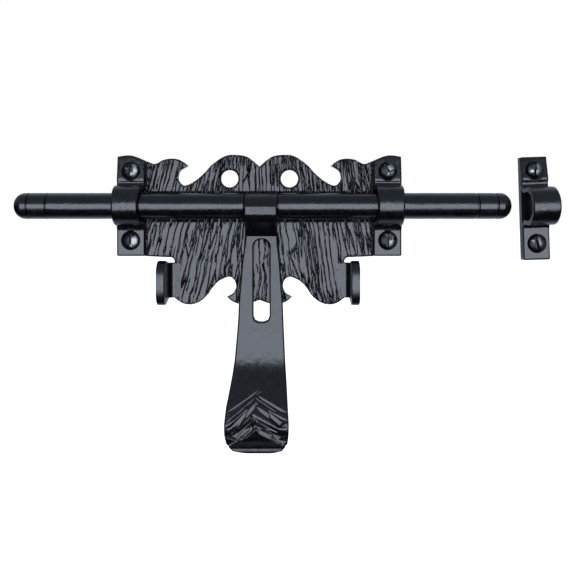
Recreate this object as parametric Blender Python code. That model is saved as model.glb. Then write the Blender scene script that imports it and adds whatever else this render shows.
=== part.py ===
"""Toggle bolt latch for a door: a round bolt bar slides in two guides on a back plate, a toggle handle
turns on the bar's neck and drops over either of the plate's lugs, and the bar shoots into a keeper.

Metres, +Z up. The front faces -Y and the bar runs along X. The origin lies on the plate's back face,
behind the bar's axis and midway between the guides. The handle hangs down at rest.
"""

import math

import bmesh
import bpy
from mathutils import Vector

MM = 0.001

# clearances
GAP = 0.3 * MM
PLATE_GAP = 0.6 * MM

# back plate
PLATE_THICKNESS = 4.0 * MM
PLATE_EDGE_X = 53.6 * MM
FIXING_HOLE_X = 18.9 * MM
FIXING_HOLE_Z = 17.5 * MM
FIXING_HOLE_RADIUS = 5.5 * MM
FIXING_HOLE_CHAMFER = 0.9 * MM

# the plate's right half outline as (x, z) in millimetres, clockwise from the middle of its top edge:
# each stretch is one smooth curve, and the stretches meet at sharp corners
PLATE_OUTLINE = (
    (
        (0, 25.1), (6.6, 30.6), (12.5, 32.3), (21.0, 32.0), (29.5, 26.7), (34.6, 21.2), (40.6, 16.1),
        (46.9, 13.1), (50.4, 15.2), (51.4, 18.7), (49.9, 22.6), (45.0, 25.6),
    ),
    (
        (45.0, 25.6), (48.4, 28.2), (51.6, 29.7), (56.0, 30.1), (60.6, 29.3), (65.8, 26.8), (70.9, 28.4),
        (77.7, 31.2), (82.7, 32.0), (88.6, 31.2),
    ),
    ((88.6, 31.2), (89.5, -29.8)),
    ((89.5, -29.8), (75.0, -31.2), (60.0, -32.0), (55.2, -32.3), (53.6, -33.9)),
    ((53.6, -33.9), (53.6, -57.6)),
    (
        (53.6, -57.6), (48.7, -61.0), (43.2, -61.9), (38.0, -60.3), (33.1, -56.3), (29.3, -50.9),
        (25.3, -47.0), (19.5, -44.5), (16.1, -46.2), (14.8, -50.2), (16.4, -54.6), (20.5, -57.1),
    ),
    ((20.5, -57.1), (17.0, -60.0), (12.4, -61.6), (6.3, -61.2), (0, -59.1)),
)
OUTLINE_STEPS = 3

# lugs: the plate's side edges bent forward
LUG_THICKNESS = 4.6 * MM
LUG_ROOT_THICKNESS = 3.5 * MM
LUG_BEND_RADIUS = 2.6 * MM
LUG_HEIGHT = 19.5 * MM
LUG_ROOT_MIDDLE_Z = -46.5 * MM
LUG_ROOT_HALF_WIDTH = 11.0 * MM
LUG_FRONT_MIDDLE_Z = -47.3 * MM
LUG_FRONT_HALF_WIDTH = 13.5 * MM
LUG_STRAIGHT_SHARE = 0.6
LUG_LAST_SHARE = 0.985
LUG_ROUNDING = 2.4
LUG_CROWDING = 1.6

# bolt bar
BAR_RADIUS = 8.0 * MM
BAR_LENGTH = 305.0 * MM
BAR_MIDDLE_X = 2.5 * MM
BAR_STANDOFF = 1.0 * MM
BAR_AXIS_Y = -(PLATE_THICKNESS + BAR_STANDOFF + BAR_RADIUS)
BAR_GROOVE_WIDTH = 1.4 * MM
BAR_GROOVE_DEPTH = 0.9 * MM
BAR_GROOVE_FROM_TIP = (10.0 * MM, 21.5 * MM)
BAR_TIP_LENGTH = 6.8 * MM
NECK_RADIUS = 5.0 * MM

# toggle handle: its side edges are (z, left, right) in millimetres from the eye's middle, its head's
# front and its strap's sweep are (y, z) in millimetres, the sweep's y counted from the strap's back
HANDLE_X = 1.5 * MM
EYE_HALF_WIDTH = 9.9 * MM
EYE_SIDE_GAP = 0.4 * MM
EYE_RADIUS = 8.3 * MM
STRAP_THICKNESS = 4.2 * MM
HANDLE_EDGES = (
    (9.0, -9.9, 9.9), (-18.0, -9.9, 9.9), (-24.0, -10.5, 10.2), (-34.0, -12.1, 11.4), (-58.0, -14.1, 13.2),
    (-72.0, -14.7, 13.7), (-96.0, -16.7, 14.8), (-110.0, -18.6, 15.8), (-121.0, -20.8, 16.4),
    (-130.0, -21.6, 17.0), (-137.0, -21.5, 16.9), (-142.0, -19.8, 15.6), (-145.5, -14.6, 11.6),
    (-147.2, -6.0, 5.0),
)
HANDLE_HEAD = ((-10.6, -5.6), (-11.2, -4.6), (-10.9, 0.1), (-6.6, 4.3), (-4.6, 7.1))
HEAD_FOOT_Z = -18.8 * MM
HANDLE_SWEEP = (
    (0, -80.0), (-1.7, -90.0), (-5.0, -99.0), (-10.4, -111.5), (-15.6, -123.5), (-18.3, -131.5),
    (-19.0, -138.0), (-19.2, -147.0),
)
SWEEP_LEAN = 1.2 * MM
SWEEP_THICKENING = 1.03
SWEEP_STEPS = 2
HANDLE_LIP = ((-22.6, -147.2), (-23.6, -144.5))
EYE_START_DEGREES = 100
SLOT_HALF_WIDTH = 5.35 * MM
SLOT_TOP_Z = -20.6 * MM
SLOT_BOTTOM_Z = -72.2 * MM

# guides
GUIDE_X = 80.3 * MM
GUIDE_HALF_WIDTH = 8.8 * MM
CROWN_HALF_WIDTH = 7.9 * MM
GUIDE_PAD_THICKNESS = 3.0 * MM
GUIDE_FOOT_Z = -31.2 * MM
TUNNEL_RADIUS = BAR_RADIUS + 0.5 * MM
ARCH_RADIUS = 11.3 * MM
ARCH_FILLET = 3.0 * MM
GUIDE_SCREW_Z = (22.6 * MM, -21.4 * MM)
EDGE_BEVEL = 0.9 * MM

# keeper
KEEPER_X = 173.2 * MM
KEEPER_HALF_WIDTH = 8.3 * MM
KEEPER_THICKNESS = 6.2 * MM
KEEPER_TOP_Z = 31.2 * MM
KEEPER_FOOT_Z = -33.8 * MM
KEEPER_BASE_THICKNESS = 4.0 * MM
KEEPER_WALL = 2.8 * MM
KEEPER_ARCH_RADIUS = 11.8 * MM
KEEPER_TILT = math.radians(1.7)
KEEPER_SCREW_Z = (23.3 * MM, -23.3 * MM)

# wood screws: slotted, raised countersunk heads
SCREW_HEAD_RADIUS = 4.85 * MM
SCREW_DOME = 1.7 * MM
SCREW_SHANK_RADIUS = 2.4 * MM
SCREW_LENGTH = 25.4 * MM
SCREW_TIP_LENGTH = 5.0 * MM
SCREW_SLOT_WIDTH = 1.5 * MM
SCREW_SLOT_DEPTH = 1.5 * MM
SCREW_SUNK = 0.7 * MM
SINK_RADIUS = 6.0 * MM
SINK_DEPTH = 3.3 * MM
SCREW_HOLE_RADIUS = SCREW_SHANK_RADIUS + GAP
GUIDE_SLOT_TURNS = (20, 0, -25, 0)
KEEPER_SLOT_TURNS = (0, -8)
DOME_STEPS = 4

# preview finishes as (colour, roughness, metallic)
FINISHES = {
    "grained_black_iron": ((0.050, 0.052, 0.060), 0.50, 0.5),
    "smooth_black_iron": ((0.040, 0.042, 0.050), 0.42, 0.5),
    "turned_black_iron": ((0.045, 0.047, 0.055), 0.36, 0.5),
    "forged_black_iron": ((0.042, 0.044, 0.052), 0.44, 0.5),
    "cast_black_iron": ((0.038, 0.040, 0.048), 0.46, 0.5),
    "worn_steel": ((0.42, 0.41, 0.40), 0.38, 1.0),
}

BAR_SEGMENTS = 28
TUNNEL_SEGMENTS = 28
HOLE_SEGMENTS = 20
SCREW_SEGMENTS = 20
ARC_STEPS = 8
CUT_MARGIN = 2.0 * MM
SHARP_ANGLE = math.radians(35)
BEVEL_ANGLE = math.radians(50)


# ---------------------------------------------------------------- helpers

def empty_the_scene():
    for item in list(bpy.data.objects):
        bpy.data.objects.remove(item, do_unlink=True)


def metal(name):
    colour, roughness, metallic = FINISHES[name]
    material = bpy.data.materials.new(name)
    material.use_nodes = True
    shader = material.node_tree.nodes["Principled BSDF"]
    shader.inputs["Base Color"].default_value = (*colour, 1.0)
    shader.inputs["Roughness"].default_value = roughness
    shader.inputs["Metallic"].default_value = metallic
    return material


def add_object(name, mesh, location=(0, 0, 0), material=None):
    obj = bpy.data.objects.new(name, mesh)
    obj.location = location
    bpy.context.scene.collection.objects.link(obj)
    if material and not mesh.materials:
        mesh.materials.append(material)
    return obj


def finished_mesh(name, bm):
    """Turns a bmesh into a mesh with its faces pointing out, smooth but for its sharp edges."""
    bmesh.ops.recalc_face_normals(bm, faces=bm.faces)
    mesh = bpy.data.meshes.new(name)
    bm.to_mesh(mesh)
    bm.free()
    mesh.shade_smooth()
    mesh.set_sharp_from_angle(angle=SHARP_ANGLE)
    return mesh


def arc(centre, radius, start, end, steps=ARC_STEPS):
    """Points on a circle from one angle to another, in degrees, both ends included."""
    angles = [math.radians(start + (end - start) * i / steps) for i in range(steps + 1)]
    return [(centre[0] + radius * math.cos(a), centre[1] + radius * math.sin(a)) for a in angles]


def catmull_rom(a, b, c, d, t):
    """The value at a share t of the way from b to c, on a smooth curve through all four."""
    square = 2 * a - 5 * b + 4 * c - d
    cube = 3 * b - a - 3 * c + d
    return (2 * b + (c - a) * t + square * t**2 + cube * t**3) / 2


def smooth_curve(points, steps):
    """A smooth curve through the points, without its last one. Three points or fewer stay straight."""
    padded = [points[0], *points, points[-1]]
    count = steps if len(points) > 3 else 1
    curve = []
    for corners in zip(padded, padded[1:], padded[2:], padded[3:]):
        for step in range(count):
            curve.append(tuple(catmull_rom(*values, step / count) for values in zip(*corners)))
    return curve


def mix(a, b, share):
    return a + (b - a) * share


def edge_at(z, side):
    """The handle's left (1) or right (2) edge at a height, read from HANDLE_EDGES."""
    z_mm = max(min(z / MM, HANDLE_EDGES[0][0]), HANDLE_EDGES[-1][0])
    upper, lower = next(pair for pair in zip(HANDLE_EDGES, HANDLE_EDGES[1:]) if z_mm >= pair[1][0])
    share = (upper[0] - z_mm) / (upper[0] - lower[0])
    return mix(upper[side], lower[side], share) * MM


def slab(name, outline, low, high, place):
    """A closed solid between two copies of an outline. place(u, v, side) turns a point into x, y, z."""
    bm = bmesh.new()
    faces = []
    for side in (low, high):
        faces.append(bm.faces.new([bm.verts.new(place(u, v, side)) for u, v in outline]))
    bottom, top = (list(face.verts) for face in faces)
    for i in range(len(outline)):
        bm.faces.new((bottom[i - 1], bottom[i], top[i], top[i - 1]))
    bm.normal_update()
    bmesh.ops.triangulate(bm, faces=faces)
    return finished_mesh(name, bm)


def turned(name, profile, segments, axis):
    """A closed solid of revolution. The profile's points are (along, radius), ends on the axis."""
    bm = bmesh.new()
    rings = []
    for along, radius in profile:
        if radius == 0:
            rings.append([bm.verts.new(axis_point(axis, along, 0, 0))])
            continue
        turns = [2 * math.pi * i / segments for i in range(segments)]
        rings.append([bm.verts.new(axis_point(axis, along, radius, t)) for t in turns])
    for a, b in zip(rings, rings[1:]):
        for i in range(segments):
            corners = [a[i - 1], a[i]] if len(a) > 1 else [a[0]]
            corners += [b[i], b[i - 1]] if len(b) > 1 else [b[0]]
            bm.faces.new(corners)
    return finished_mesh(name, bm)


def axis_point(axis, along, radius, turn):
    u, v = radius * math.cos(turn), radius * math.sin(turn)
    return Vector((along, u, v)) if axis == "X" else Vector((u, along, v))


def cut(target, mesh, location=(0, 0, 0), rotation=(0, 0, 0), operation="DIFFERENCE"):
    """Cuts a shape out of an object, or joins one to it, by a Boolean that stays on the object."""
    tool = add_object(f"{target.name}_tool_{len(target.modifiers)}", mesh, location)
    tool.rotation_euler = rotation
    tool.hide_render = True
    tool.display_type = "WIRE"
    boolean = target.modifiers.new(tool.name, "BOOLEAN")
    boolean.solver = "EXACT"
    boolean.operation = operation
    boolean.object = tool


def soften(obj, width=EDGE_BEVEL):
    bevel = obj.modifiers.new("soft_edges", "BEVEL")
    bevel.width = width
    bevel.segments = 1
    bevel.limit_method = "ANGLE"
    bevel.angle_limit = BEVEL_ANGLE


# ---------------------------------------------------------------- cutters

def screw_hole_mesh(depth):
    """A countersink with its clearance hole, mouth at the origin, running along +Y."""
    rim = SINK_RADIUS + CUT_MARGIN
    return turned(
        "countersink",
        [
            (-CUT_MARGIN, 0), (-CUT_MARGIN, rim), (SINK_DEPTH, SINK_RADIUS - SINK_DEPTH),
            (depth, SINK_RADIUS - SINK_DEPTH), (depth, 0),
        ],
        HOLE_SEGMENTS, "Y",
    )


def plain_hole_mesh(radius, chamfer, depth):
    rim = radius + chamfer + CUT_MARGIN
    profile = [(-CUT_MARGIN, 0), (-CUT_MARGIN, rim), (chamfer, radius), (depth, radius), (depth, 0)]
    return turned("hole", profile, HOLE_SEGMENTS, "Y")


# ---------------------------------------------------------------- back plate

def plate_outline():
    """The whole outline: the right half, then its mirror image back up the left."""
    half = [p for stretch in PLATE_OUTLINE for p in smooth_curve(stretch, OUTLINE_STEPS)]
    half.append(PLATE_OUTLINE[-1][-1])
    mirrored = [(-x, z) for x, z in reversed(half[1:-1])]
    return [(x * MM, z * MM) for x, z in half + mirrored]


def lug_stations():
    """(centre x, centre y, lean, thickness, height) along the lug, from inside the plate to its front.

    The lean turns the lug from flat with the plate, 0, to square to it, a right angle.
    """
    bend_x, bend_y = PLATE_EDGE_X - GAP, -PLATE_THICKNESS - LUG_BEND_RADIUS
    stations = [(PLATE_EDGE_X - CUT_MARGIN, -PLATE_THICKNESS / 2, 0, LUG_ROOT_THICKNESS, 0)]
    for step in range(ARC_STEPS // 2 + 1):
        share = step / (ARC_STEPS // 2)
        thickness = mix(LUG_ROOT_THICKNESS, LUG_THICKNESS, share)
        radius = mix(LUG_BEND_RADIUS + PLATE_THICKNESS / 2, LUG_BEND_RADIUS + LUG_THICKNESS / 2, share)
        lean = math.radians(90) * share
        y = bend_y + radius * math.cos(lean)
        stations.append((bend_x + radius * math.sin(lean), y, lean, thickness, -PLATE_THICKNESS - y))
    x, _, lean, thickness, _ = stations[-1]
    for step in range(1, ARC_STEPS + 1):
        height = mix(LUG_BEND_RADIUS, LUG_HEIGHT, 1 - (1 - step / ARC_STEPS) ** LUG_CROWDING)
        stations.append((x, -PLATE_THICKNESS - height, lean, thickness, height))
    return stations


def lug_ends(height):
    """The lug's lowest and highest z at a height above the plate: it flares, then its front is rounded."""
    share = max(0.0, min(height / LUG_HEIGHT, LUG_LAST_SHARE))
    middle = mix(LUG_ROOT_MIDDLE_Z, LUG_FRONT_MIDDLE_Z, share)
    half = mix(LUG_ROOT_HALF_WIDTH, LUG_FRONT_HALF_WIDTH, min(share / LUG_STRAIGHT_SHARE, 1))
    rounding = max(0.0, (share - LUG_STRAIGHT_SHARE) / (1 - LUG_STRAIGHT_SHARE))
    half *= (1 - rounding**LUG_ROUNDING) ** (1 / LUG_ROUNDING)
    return middle - half, middle + half


def lug_mesh(side):
    bm = bmesh.new()
    rings = []
    for x, y, lean, thickness, height in lug_stations():
        low, high = lug_ends(height)
        ring = []
        for out, z in ((-0.5, low), (-0.5, high), (0.5, high), (0.5, low)):
            across, along = math.sin(lean) * out * thickness, math.cos(lean) * out * thickness
            ring.append(bm.verts.new((side * (x + across), y + along, z)))
        rings.append(ring)
    for a, b in zip(rings, rings[1:]):
        for i in range(4):
            bm.faces.new((a[i - 1], a[i], b[i], b[i - 1]))
    bm.faces.new(rings[0])
    bm.faces.new(rings[-1])
    return finished_mesh("lug", bm)


def back_plate(material):
    """The flat plate, its lugs and its holes."""
    mesh = slab(
        "back_plate", plate_outline(), -PLATE_THICKNESS, 0,
        lambda x, z, y: (x, y, z),
    )
    plate = add_object("back_plate", mesh, material=material)
    for side in (-1, 1):
        cut(plate, lug_mesh(side), operation="UNION")
        hole = plain_hole_mesh(FIXING_HOLE_RADIUS, FIXING_HOLE_CHAMFER, PLATE_THICKNESS + CUT_MARGIN)
        cut(plate, hole, (side * FIXING_HOLE_X, -PLATE_THICKNESS, FIXING_HOLE_Z))
        for z in GUIDE_SCREW_Z:
            through = plain_hole_mesh(SCREW_HOLE_RADIUS, GAP, PLATE_THICKNESS + CUT_MARGIN)
            cut(plate, through, (side * GUIDE_X, -PLATE_THICKNESS, z))
    return plate


# ---------------------------------------------------------------- guides and keeper

def fillet_centre(front, arch_radius):
    """The upper fillet's centre, as (y, z), and the angle in degrees at which the bar's axis sees it."""
    y = front - ARCH_FILLET
    z = math.sqrt((arch_radius + ARCH_FILLET) ** 2 - (y - BAR_AXIS_Y) ** 2)
    return (y, z), math.degrees(math.atan2(z, y - BAR_AXIS_Y))


def bridge_profile(back, front, top, foot, arch_radius, tunnel):
    """The side view of pads with an arch over the bar, as (y, z) points. tunnel is the inner line."""
    centre, lean = fillet_centre(front, arch_radius)
    upper = arc(centre, ARCH_FILLET, 0, lean - 180, ARC_STEPS // 2)
    crown = arc((BAR_AXIS_Y, 0), arch_radius, lean, 360 - lean, ARC_STEPS * 2)
    lower = [(y, -z) for y, z in reversed(upper)]
    return [(back, top), (front, top), *upper, *crown[1:-1], *lower, (front, foot), (back, foot), *tunnel]


def keeper_opening():
    """The space between the keeper's base bar and its arch, as (y, z): the arch's wall is even."""
    centre, lean = fillet_centre(-KEEPER_THICKNESS, KEEPER_ARCH_RADIUS)
    flare = ARCH_FILLET + KEEPER_WALL
    start = -math.degrees(math.acos((-KEEPER_BASE_THICKNESS - centre[0]) / flare))
    upper = arc(centre, flare, start, lean - 180, ARC_STEPS // 2)
    crown = arc((BAR_AXIS_Y, 0), KEEPER_ARCH_RADIUS - KEEPER_WALL, lean, 360 - lean, ARC_STEPS * 2)
    return [*upper, *crown[1:-1], *((y, -z) for y, z in reversed(upper))]


def bridge_mesh(name, profile, front, crown, half_width, crown_half_width):
    """The profile given its width along X, which narrows evenly from the pads to the arch's crown."""
    def place(y, z, side):
        share = max(0.0, min((front - y) / (front - crown), 1))
        return side * mix(half_width, crown_half_width, share), y, z

    return slab(name, profile, -1, 1, place)


def guide_staple(name, side, material):
    back = -PLATE_THICKNESS - GAP
    front = back - GUIDE_PAD_THICKNESS
    tunnel = [(back, -TUNNEL_RADIUS), *arc((BAR_AXIS_Y, 0), TUNNEL_RADIUS, 270, 90, ARC_STEPS * 2)]
    tunnel.append((back, TUNNEL_RADIUS))
    top = max(z for _, z in PLATE_OUTLINE[1]) * MM
    profile = bridge_profile(back, front, top, GUIDE_FOOT_Z, ARCH_RADIUS, tunnel)
    crown = BAR_AXIS_Y - ARCH_RADIUS
    mesh = bridge_mesh(name, profile, front, crown, GUIDE_HALF_WIDTH, CROWN_HALF_WIDTH)
    slope_pad_top(mesh, side, top)
    staple = add_object(name, mesh, (side * GUIDE_X, 0, 0), material)
    soften(staple)
    for z in GUIDE_SCREW_Z:
        cut(staple, screw_hole_mesh(PLATE_THICKNESS + CUT_MARGIN), (side * GUIDE_X, front, z))
    return staple


def slope_pad_top(mesh, side, top):
    """Lowers the upper pad's inner top corner, so that its edge follows the plate's outline."""
    points = PLATE_OUTLINE[1]
    inner_x = (GUIDE_X - GUIDE_HALF_WIDTH) / MM
    outline_z = min(points, key=lambda p: abs(p[0] - inner_x))[1] * MM
    for vertex in mesh.vertices:
        if vertex.co.z > top - GAP and vertex.co.x * side < 0:
            vertex.co.z = outline_z


def keeper(material):
    """The keeper in one casting, standing slightly out of square."""
    front = -KEEPER_THICKNESS
    profile = bridge_profile(0, front, KEEPER_TOP_Z, KEEPER_FOOT_Z, KEEPER_ARCH_RADIUS, [])
    crown = BAR_AXIS_Y - KEEPER_ARCH_RADIUS
    mesh = bridge_mesh("keeper", profile, front, crown, KEEPER_HALF_WIDTH, KEEPER_HALF_WIDTH)
    obj = add_object("keeper", mesh, (KEEPER_X, 0, 0), material)
    obj.rotation_euler.y = -KEEPER_TILT
    soften(obj)
    reach = KEEPER_HALF_WIDTH + CUT_MARGIN
    opening = slab("opening", keeper_opening(), -reach, reach, lambda y, z, x: (x, y, z))
    cut(obj, opening, (KEEPER_X, 0, 0), obj.rotation_euler)
    for spot in keeper_screw_spots():
        hole = screw_hole_mesh(KEEPER_THICKNESS + CUT_MARGIN)
        cut(obj, hole, (spot.x, front, spot.z))
    return obj


def keeper_screw_spots():
    turn = -KEEPER_TILT
    return [Vector((KEEPER_X + z * math.sin(turn), 0, z * math.cos(turn))) for z in KEEPER_SCREW_Z]


# ---------------------------------------------------------------- bolt bar

def bar_tip(sign):
    """One rounded end of the bar and its two grooves, from the tip inwards, as (along, radius)."""
    end = BAR_LENGTH / 2
    points = [(end - BAR_TIP_LENGTH * (1 - math.cos(a)), BAR_RADIUS * math.sin(a))
              for a in (math.radians(90) * i / ARC_STEPS for i in range(ARC_STEPS + 1))]
    points[0] = (end, 0)
    half = BAR_GROOVE_WIDTH / 2
    for from_tip in BAR_GROOVE_FROM_TIP:
        middle = end - from_tip
        points += [(middle + half, BAR_RADIUS), (middle + half / 2, BAR_RADIUS - BAR_GROOVE_DEPTH)]
        points += [(middle - half / 2, BAR_RADIUS - BAR_GROOVE_DEPTH), (middle - half, BAR_RADIUS)]
    return [(sign * along, radius) for along, radius in points]


def bolt_bar(material):
    """The bar, turned down in the middle to the neck that the handle's eye runs on."""
    neck_half = EYE_HALF_WIDTH + EYE_SIDE_GAP
    neck_middle = HANDLE_X - BAR_MIDDLE_X
    neck = [
        (neck_middle - neck_half, BAR_RADIUS), (neck_middle - neck_half, NECK_RADIUS),
        (neck_middle + neck_half, NECK_RADIUS), (neck_middle + neck_half, BAR_RADIUS),
    ]
    profile = bar_tip(-1) + neck + bar_tip(1)[::-1]
    mesh = turned("bolt_bar", profile, BAR_SEGMENTS, "X")
    return add_object("bolt_bar", mesh, (BAR_MIDDLE_X, BAR_AXIS_Y, 0), material)


# ---------------------------------------------------------------- toggle handle

def handle_profile():
    """The handle's side view as (y, z) from the eye's axis: the back first, down, then up the front."""
    back = -PLATE_GAP - PLATE_THICKNESS - BAR_AXIS_Y
    front = back - STRAP_THICKNESS
    eye = arc((0, 0), EYE_RADIUS, EYE_START_DEGREES, 0)
    sweep = [(back + y * MM, z * MM) for y, z in HANDLE_SWEEP]
    lip = [(back + y * MM, z * MM) for y, z in HANDLE_LIP]
    rise = [(y - STRAP_THICKNESS * SWEEP_THICKENING, z + SWEEP_LEAN) for y, z in reversed(sweep[1:-1])]
    head = [(y * MM, z * MM) for y, z in HANDLE_HEAD]
    down = [*smooth_curve(sweep, SWEEP_STEPS), sweep[-1]]
    up = [*smooth_curve(rise, SWEEP_STEPS), rise[-1], (front, sweep[0][1]), (front, HEAD_FOOT_Z)]
    return [*eye, *down, *lip, *up, *head]


def toggle_handle(material):
    def place(y, z, side):
        return edge_at(z, side), y, z

    mesh = slab("toggle_handle", handle_profile(), 1, 2, place)
    handle = add_object("toggle_handle", mesh, (HANDLE_X, BAR_AXIS_Y, 0), material)
    soften(handle, EDGE_BEVEL / 2)
    reach = EYE_HALF_WIDTH + CUT_MARGIN
    bore = [(-reach, 0), (-reach, NECK_RADIUS + GAP), (reach, NECK_RADIUS + GAP), (reach, 0)]
    cut(handle, turned("bore", bore, TUNNEL_SEGMENTS, "X"), (HANDLE_X, BAR_AXIS_Y, 0))
    half, round_top = SLOT_HALF_WIDTH, SLOT_TOP_Z - SLOT_HALF_WIDTH
    slot = arc((0, round_top), half, 0, 180, ARC_STEPS) + [(-half, SLOT_BOTTOM_Z + half / 2)]
    slot += [(-half / 2, SLOT_BOTTOM_Z), (half / 2, SLOT_BOTTOM_Z), (half, SLOT_BOTTOM_Z + half / 2)]
    slot_mesh = slab("slot", slot, -BAR_RADIUS * 2, PLATE_THICKNESS, lambda x, z, y: (x, y, z))
    cut(handle, slot_mesh, (HANDLE_X, -PLATE_THICKNESS, 0))
    return handle


# ---------------------------------------------------------------- screws

def screw_mesh():
    """A screw along +Y with its head's rim at the origin: dome, head cone, shank and point."""
    dome = [(-SCREW_DOME * math.cos(a), SCREW_HEAD_RADIUS * math.sin(a))
            for a in (math.radians(90) * i / DOME_STEPS for i in range(DOME_STEPS + 1))]
    dome[0] = (-SCREW_DOME, 0)
    neck = SCREW_HEAD_RADIUS - SCREW_SHANK_RADIUS
    profile = dome + [
        (neck, SCREW_SHANK_RADIUS), (SCREW_LENGTH - SCREW_TIP_LENGTH, SCREW_SHANK_RADIUS), (SCREW_LENGTH, 0),
    ]
    return turned("wood_screw", profile, SCREW_SEGMENTS, "Y")


def slot_tool_mesh():
    half, reach = SCREW_SLOT_WIDTH / 2, SCREW_HEAD_RADIUS + CUT_MARGIN
    outline = [(-half, -reach), (half, -reach), (half, reach), (-half, reach)]
    floor = SCREW_SLOT_DEPTH - SCREW_DOME
    return slab("screw_slot", outline, -2 * SCREW_DOME, floor, lambda x, z, y: (x, y, z))


def add_screws(prefix, spots, face, turns, mesh, slot_mesh, material):
    """One screw at each (x, z) spot, sunk below the face's y, its slot turned by so many degrees."""
    for number, ((x, z), degrees) in enumerate(zip(spots, turns), 1):
        place = (x, face + SCREW_SUNK, z)
        turn = (0, math.radians(degrees), 0)
        screw = add_object(f"{prefix}_{number}", mesh, place, material)
        screw.rotation_euler = turn
        cut(screw, slot_mesh, place, turn)


# ---------------------------------------------------------------- assembly

def build():
    empty_the_scene()
    back_plate(metal("grained_black_iron"))
    smooth_iron = metal("smooth_black_iron")
    guide_staple("left_guide_staple", -1, smooth_iron)
    guide_staple("right_guide_staple", 1, smooth_iron)
    keeper(metal("cast_black_iron"))
    bar = bolt_bar(metal("turned_black_iron"))
    handle = toggle_handle(metal("forged_black_iron"))
    handle.parent = bar
    handle.location -= bar.location

    worn_steel = metal("worn_steel")
    screw, slot = screw_mesh(), slot_tool_mesh()
    guide_spots = [(side * GUIDE_X, z) for side in (-1, 1) for z in GUIDE_SCREW_Z]
    keeper_spots = [(spot.x, spot.z) for spot in keeper_screw_spots()]
    guide_face = -PLATE_THICKNESS - GAP - GUIDE_PAD_THICKNESS
    add_screws("guide_screw", guide_spots, guide_face, GUIDE_SLOT_TURNS, screw, slot, worn_steel)
    add_screws("keeper_screw", keeper_spots, -KEEPER_THICKNESS, KEEPER_SLOT_TURNS, screw, slot, worn_steel)


build()
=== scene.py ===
"""The looks of the toggle bolt latch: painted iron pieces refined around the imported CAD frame.

Metres, +Z up, in the CAD's frame: the front faces -Y, the bar runs along X, and the plate's back is y = 0.
"""

import math

import bmesh
import bpy
import numpy as np
from mathutils import Matrix, Vector, geometry, noise


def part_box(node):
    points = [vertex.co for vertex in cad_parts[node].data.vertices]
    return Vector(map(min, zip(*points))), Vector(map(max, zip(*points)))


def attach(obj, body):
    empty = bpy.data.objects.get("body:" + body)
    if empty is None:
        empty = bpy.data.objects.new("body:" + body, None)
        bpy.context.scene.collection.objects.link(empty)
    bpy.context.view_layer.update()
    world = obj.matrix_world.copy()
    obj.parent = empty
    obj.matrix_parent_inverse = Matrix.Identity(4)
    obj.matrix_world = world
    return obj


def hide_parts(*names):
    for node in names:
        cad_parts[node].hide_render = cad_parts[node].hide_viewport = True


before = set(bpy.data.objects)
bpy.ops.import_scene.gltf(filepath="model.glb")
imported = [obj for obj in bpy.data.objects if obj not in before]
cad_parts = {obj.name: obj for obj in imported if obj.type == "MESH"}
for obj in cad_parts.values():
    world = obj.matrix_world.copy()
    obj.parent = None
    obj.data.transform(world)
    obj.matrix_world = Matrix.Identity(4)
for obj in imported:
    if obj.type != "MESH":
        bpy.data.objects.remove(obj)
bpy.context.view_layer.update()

MM = 0.001


def middle(node):
    low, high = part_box(node)
    return (low + high) / 2


# ---------------------------------------------------------------- sizes

BAR_LOW, BAR_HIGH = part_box("bolt_bar")
BAR_AXIS_Y = middle("bolt_bar").y
BAR_RADIUS = (BAR_HIGH.z - BAR_LOW.z) / 2
GUIDE_X = middle("right_guide_staple").x
GUIDE_FRONT_Y = -7.3 * MM
KEEPER_X = middle("keeper").x
HANDLE_X = 1.5 * MM

# bolt bar
BAR_NOSE = 6.8 * MM
BAR_EDGE = 0.5 * MM
BAR_GROOVES_FROM_TIP = (10.0 * MM, 21.5 * MM)
BAR_GROOVE_DEPTH = 0.9 * MM
BAR_GROOVE_HALF_WIDTH = 0.7 * MM
NECK_HALF_LENGTH = 10.3 * MM
NECK_RADIUS = 5.0 * MM

# back plate; its right half outline as (x, z) in millimetres, clockwise from the middle of its top edge
PLATE_THICKNESS = 4.0 * MM
PLATE_EDGE_X = 53.6 * MM
PLATE_OUTLINE = (
    (
        (0, 25.1), (6.6, 30.6), (12.5, 32.3), (21.0, 32.0), (29.5, 26.7), (34.6, 21.2), (40.6, 16.1),
        (46.9, 13.1), (50.4, 15.2), (51.4, 18.7), (49.9, 22.6), (45.0, 25.6),
    ),
    (
        (45.0, 25.6), (48.4, 28.2), (51.6, 29.7), (56.0, 30.1), (60.6, 29.3), (65.8, 26.8), (70.9, 28.4),
        (77.7, 31.2), (82.7, 32.0), (88.6, 31.2),
    ),
    ((88.6, 31.2), (89.5, -29.8)),
    ((89.5, -29.8), (75.0, -31.2), (60.0, -32.0), (55.2, -32.3), (53.6, -33.9)),
    ((53.6, -33.9), (53.6, -57.6)),
    (
        (53.6, -57.6), (48.7, -61.0), (43.2, -61.9), (38.0, -60.3), (33.1, -56.3), (29.3, -50.9),
        (25.3, -47.0), (19.5, -44.5), (16.1, -46.2), (14.8, -50.2), (16.4, -54.6), (20.5, -57.1),
    ),
    ((20.5, -57.1), (17.0, -60.0), (12.4, -61.6), (6.3, -61.2), (0, -59.1)),
)
OUTLINE_STEPS = 8
OUTLINE_SPACING = 0.8 * MM
FIXING_HOLE = (18.9 * MM, 17.5 * MM)
FIXING_HOLE_RADIUS = 5.5 * MM
SCREW_HOLE_RADIUS = 2.7 * MM
RIM_WIDTH = 0.7 * MM
RIM_DROP = 0.8 * MM
HOLE_RIM_WIDTH = 1.4 * MM
HOLE_RIM_DROP = 1.5 * MM
GROOVE_DEPTH = 1.1 * MM

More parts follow.
